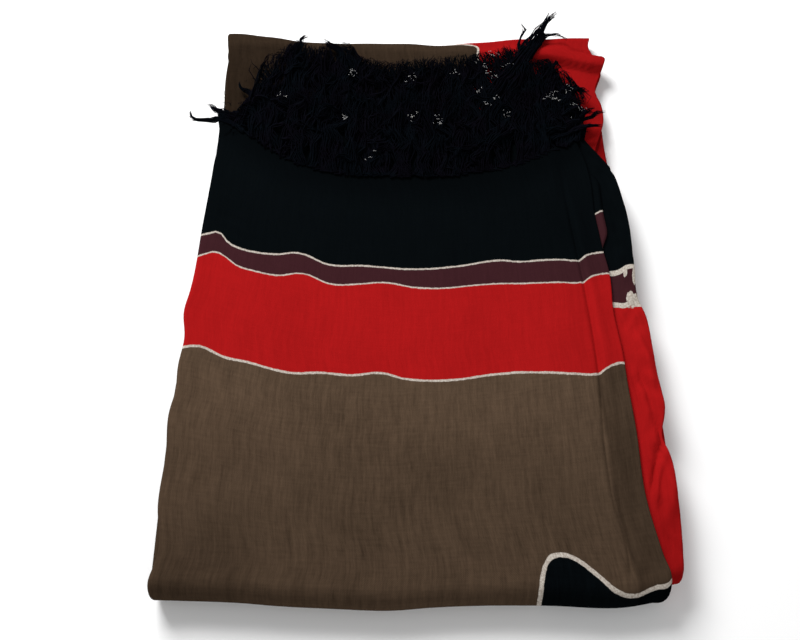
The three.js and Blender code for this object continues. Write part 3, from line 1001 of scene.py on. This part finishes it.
# The places that one lock of the lower fringe passes, from the cloth's lower short end.
def under_lock(rng, root_x):
    root = (root_x, float(under_start(root_x)) - rng.uniform(1, 4), rng.uniform(12.0, 16.5))
    reach = float(read_curve(MASS_ENDS["x"], MASS_ENDS["y"], root_x))
    tip_x = root_x * 0.96 + rng.normal(0, 4.0)
    return root, (tip_x, reach + rng.uniform(5, 11), rng.uniform(12.8, 17.5))


# A short curly lock that lies across the others.
def tangle(rng, strands):
    paths = strands[rng.integers(len(strands))]
    place = paths[rng.integers(1, len(paths) - 3)]
    turn = rng.uniform(-1.9, 1.9) + math.pi / 2
    bend = rng.choice((-1, 1)) * rng.uniform(0.5, 1.3)
    stops = []
    for _ in range(5):
        stops.append(place)
        stride = rng.uniform(3.5, 6.0)
        place = place + np.array([math.cos(turn) * stride, math.sin(turn) * stride, rng.uniform(-0.7, 0.7)])
        turn += bend * rng.uniform(0.3, 0.9)
    stops = np.array(stops)
    stops[:, 2] = np.maximum(stops[:, 2], stops[0, 2]) + rng.uniform(0.6, 2.4)
    return stops


# The lowest that a thread may lie over the top leaf, over the far end of the cloth and past it.
OVER_TOP_LEAF = 23.4
OVER_FAR_LEAF = 12.4
PAST_CLOTH = 4.0


# Where each fringe leaves its short end of the cloth.
def top_start(x):
    return bowed(x, read_curve(TOP_END["x"], TOP_END["y"], x))


def under_start(x):
    return bowed(x, np.full_like(x, UNDER_END_Y))


# Turns back over the mass the threads that stick out of it by no more than a given length.
def curl_back(paths, farthest):
    past = np.maximum(paths[..., 1] - read_curve(MASS_ENDS["x"], MASS_ENDS["y"], paths[..., 0]), 0)
    past[past.max(axis=1) > farthest] = 0
    paths[..., 1] -= TURNED_BACK * past
    paths[..., 2] += np.minimum(TURNED_UP * past, HIGHEST_TURN)


def make_fringe(name, span, lock_ends, start_y, lone_locks, seed):
    rng = np.random.default_rng(seed)
    threads = []
    for number in range(LOCKS):
        share = (number + rng.uniform(0.2, 0.8)) / LOCKS
        root, tip = lock_ends(rng, span[0] + share * (span[1] - span[0]))
        root, tip = np.array(root), np.array(tip)
        stops = [root]
        for place in (0.25, 0.5, 0.75):
            middle = root + (tip - root) * place
            middle[:2] += rng.normal(0, (3.2, 2.0))
            middle[2] = max(middle[2], 0.35 * root[2] + 0.65 * middle[2]) + rng.uniform(0.2, 2.4)
            stops.append(middle)
        stops.append(tip)
        widths = (rng.uniform(2.2, 3.2), rng.uniform(4.0, 6.5))
        threads.append(loose_threads(rng, lock_path(stops, LOCK_POINTS), widths, THREADS_A_LOCK, 4.5))
    for stops, widths in lone_locks:
        count = int(8 + 5 * widths[0])
        threads.append(loose_threads(rng, lock_path(stops, LOCK_POINTS), widths, count, 0.5, shortest=0.88))
    lying = np.concatenate(threads[:LOCKS])
    for _ in range(TANGLES):
        path = lock_path(tangle(rng, lying), LOCK_POINTS)
        threads.append(loose_threads(rng, path, (1.6, 2.2), THREADS_A_TANGLE, 2.0))
    threads = np.concatenate(threads)
    strands = [threads, loose_fuzz(rng, threads, FUZZ)]
    for paths in strands:
        x, y = paths[..., 0].copy(), paths[..., 1].copy()
        free = smooth_step(2, 18, y - start_y(x))
        sway = 2.4 * soft_waves(x, y, 21, seed + 1) + 1.2 * soft_waves(x, y, 9, seed + 3)
        paths[..., 0] = x + free * sway
        paths[..., 1] = y + free * 1.5 * soft_waves(x, y, 12, seed + 4)
        paths[..., 2] += free * (1.5 * soft_waves(x, y, 15, seed + 2) + 0.6 * soft_waves(x, y, 7, seed + 5))
    curl_back(threads[:len(lying)], LONE_THREAD)
    curl_back(threads[-TANGLES * THREADS_A_TANGLE:], LONE_THREAD)
    curl_back(strands[1], LONE_FIBRE)
    for paths in strands:
        paths[..., 2] = np.maximum(paths[..., 2], lowest_thread(paths[..., 0], paths[..., 1]))
    return tubes(name, strands, [YARN_RADIUS, FUZZ_RADIUS]), strands


# The lowest that a thread may lie at each place, over the ridge too.
def lowest_thread(x, y):
    past_ridge = y - read_curve(FAR_RIDGE["x"], FAR_RIDGE["y"], x)
    ridge = FAR_RIDGE_HEIGHT * smooth_step(62, 92, x) * smooth_step(-5, 1, past_ridge)
    ridge = ridge * smooth_step(26, 8, past_ridge)
    on_far_leaf = (np.abs(x) < 148) & (y < 207)
    lowest = np.where(on_far_leaf, OVER_FAR_LEAF + ridge, PAST_CLOTH)
    on_top_leaf = (y < top_start(x) + 0.5) & (x > -140) & (x < 118)
    return np.where(on_top_leaf, OVER_TOP_LEAF, lowest)


# Flecks of pale lint caught in the fringe: where they lie, in millimetres across and along the pile.
LINT_PLACES = [
    (-94, 134), (-47, 116), (0, 157), (1, 117), (21, 112), (34, 166), (58, 167), (72, 172),
    (54, 133), (69, 121), (104, 142), (116, 146), (62, 183), (55, 172), (65, 161), (50, 144),
    (61, 134), (101, 137), (120, 128), (123, 123), (-29, 82), (19, 117), (-43, 160), (106, 135),
]
LINT_RADIUS = 0.14
LINT_ABOVE = 0.45


def make_lint(strands):
    rng = np.random.default_rng(77)
    yarn_places = np.concatenate([paths.reshape(-1, 3) for paths in strands])
    flecks = []
    for x, y in LINT_PLACES:
        for _ in range(int(rng.integers(5, 14))):
            place = np.array([x + rng.normal(0, 2.2), y + rng.normal(0, 1.8), 0.0])
            near = np.hypot(yarn_places[:, 0] - place[0], yarn_places[:, 1] - place[1]) < 2.5
            if not near.any():
                continue
            place[2] = yarn_places[near, 2].max() + LINT_ABOVE
            turn = rng.uniform(0, math.pi)
            size = rng.uniform(0.3, 1.1)
            step = np.array([math.cos(turn), math.sin(turn), 0]) * size
            bend = np.array([-math.sin(turn), math.cos(turn), 0.3]) * size * rng.uniform(-0.6, 0.6)
            flecks.append(lock_path([place - step, place + bend, place + step], 4))
    return tubes("fringe_lint", [np.array(flecks)], [LINT_RADIUS])


def yarn_material():
    material, kit, shader = start_material("black_yarn", 0.85, 0.0)
    place = kit.node("ShaderNodeTexCoord").outputs["Object"]
    patch = kit.noise(place, 60.0, 3.0)
    fibre = kit.noise(place, 1800.0, 2.0)
    colour = kit.mix(kit.ramp(patch, 0.35, 0.65), YARN_BLUE, YARN_PURPLE)
    toned = kit.scaled(colour, kit.math("ADD", fibre, 0.5))
    kit.join(toned, shader.inputs["Base Color"])
    kit.join(kit.bump(fibre, YARN_BUMP, YARN_DEPTH), shader.inputs["Normal"])
    return material


def lint_material():
    material, kit, shader = start_material("pale_lint", 0.9, 0.5)
    place = kit.node("ShaderNodeTexCoord").outputs["Object"]
    shade = kit.ramp(kit.noise(place, 500.0, 2.0), 0.3, 0.7)
    kit.join(kit.mix(shade, LINT_SHADED, LINT_PALE), shader.inputs["Base Color"])
    return material


def floor_material():
    material, _, shader = start_material("white_table", 0.9, 0.1)
    shader.inputs["Base Color"].default_value = TABLE_WHITE
    return material


def make_floor():
    bpy.ops.mesh.primitive_plane_add(size=8, location=(0, 0, 0))
    floor = bpy.context.object
    floor.name = "table_top"
    floor.data.materials.append(floor_material())


def add_area_light(name, place, aim, size, watts):
    data = bpy.data.lights.new(name, "AREA")
    data.shape = "SQUARE"
    data.size = size
    data.energy = watts
    lamp = bpy.data.objects.new(name, data)
    lamp.location = place
    lamp.rotation_euler = (Vector(aim) - Vector(place)).to_track_quat("-Z", "Y").to_euler()
    bpy.context.scene.collection.objects.link(lamp)


def make_lights():
    add_area_light("soft_key", (-0.55, 0.85, 0.95), (0, 0, 0), 0.7, 27)
    add_area_light("soft_fill", (0.6, -1.2, 1.6), (0, 0, 0), 1.8, 7)
    world = bpy.data.worlds.new("studio")
    world.use_nodes = True
    backdrop = world.node_tree.nodes["Background"].inputs
    backdrop["Color"].default_value = (1, 1, 1, 1)
    backdrop["Strength"].default_value = 0.38
    bpy.context.scene.world = world
    bpy.context.scene.view_settings.view_transform = "Standard"


# The camera: where it stands, in millimetres in the pile's own place, and how it is turned, in degrees.
CAMERA_PLACE = (-18.54, -281.10, 462.51)
CAMERA_ELEVATION = 62.07
CAMERA_AZIMUTH = 2.41
CAMERA_ROLL = 2.455
CAMERA_LENS = 36.0


def make_camera():
    elevation, azimuth, roll = (math.radians(v) for v in (CAMERA_ELEVATION, CAMERA_AZIMUTH, CAMERA_ROLL))
    view = Vector((
        math.cos(elevation) * math.sin(azimuth),
        math.cos(elevation) * math.cos(azimuth),
        -math.sin(elevation),
    ))
    right = view.cross(Vector((0, 0, 1))).normalized()
    up = right.cross(view)
    turned_right = math.cos(roll) * right + math.sin(roll) * up
    turned_up = math.cos(roll) * up - math.sin(roll) * right
    data = bpy.data.cameras.new("camera")
    data.lens = CAMERA_LENS
    data.sensor_width = 36
    data.sensor_fit = "HORIZONTAL"
    camera = bpy.data.objects.new("camera", data)
    turn = Matrix((turned_right, turned_up, -view)).transposed()
    camera.rotation_euler = turn.to_euler()
    camera.location = to_frame(*CAMERA_PLACE).tolist()
    bpy.context.scene.collection.objects.link(camera)
    bpy.context.scene.camera = camera


make_camera()
make_lights()
make_floor()

cloth, cloth_width, cloth_length = make_cloth()
cloth.data.materials.append(cloth_material(cloth_length))
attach(cloth, "root")
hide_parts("cloth")

yarn = yarn_material()
top_fringe, top_strands = make_fringe(
    "fringe_top_yarn", TOP_SPAN, top_lock, top_start, TOP_LONE_LOCKS, 11
)
under_fringe, under_strands = make_fringe(
    "fringe_under_yarn", UNDER_SPAN, under_lock, under_start, UNDER_LONE_LOCKS, 23
)
lint = make_lint(top_strands + under_strands)
lint.data.materials.append(lint_material())
for fringe, node in ((top_fringe, "fringe_top"), (under_fringe, "fringe_under")):
    fringe.data.materials.append(yarn)
    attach(fringe, "root")
    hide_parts(node)
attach(lint, "root")
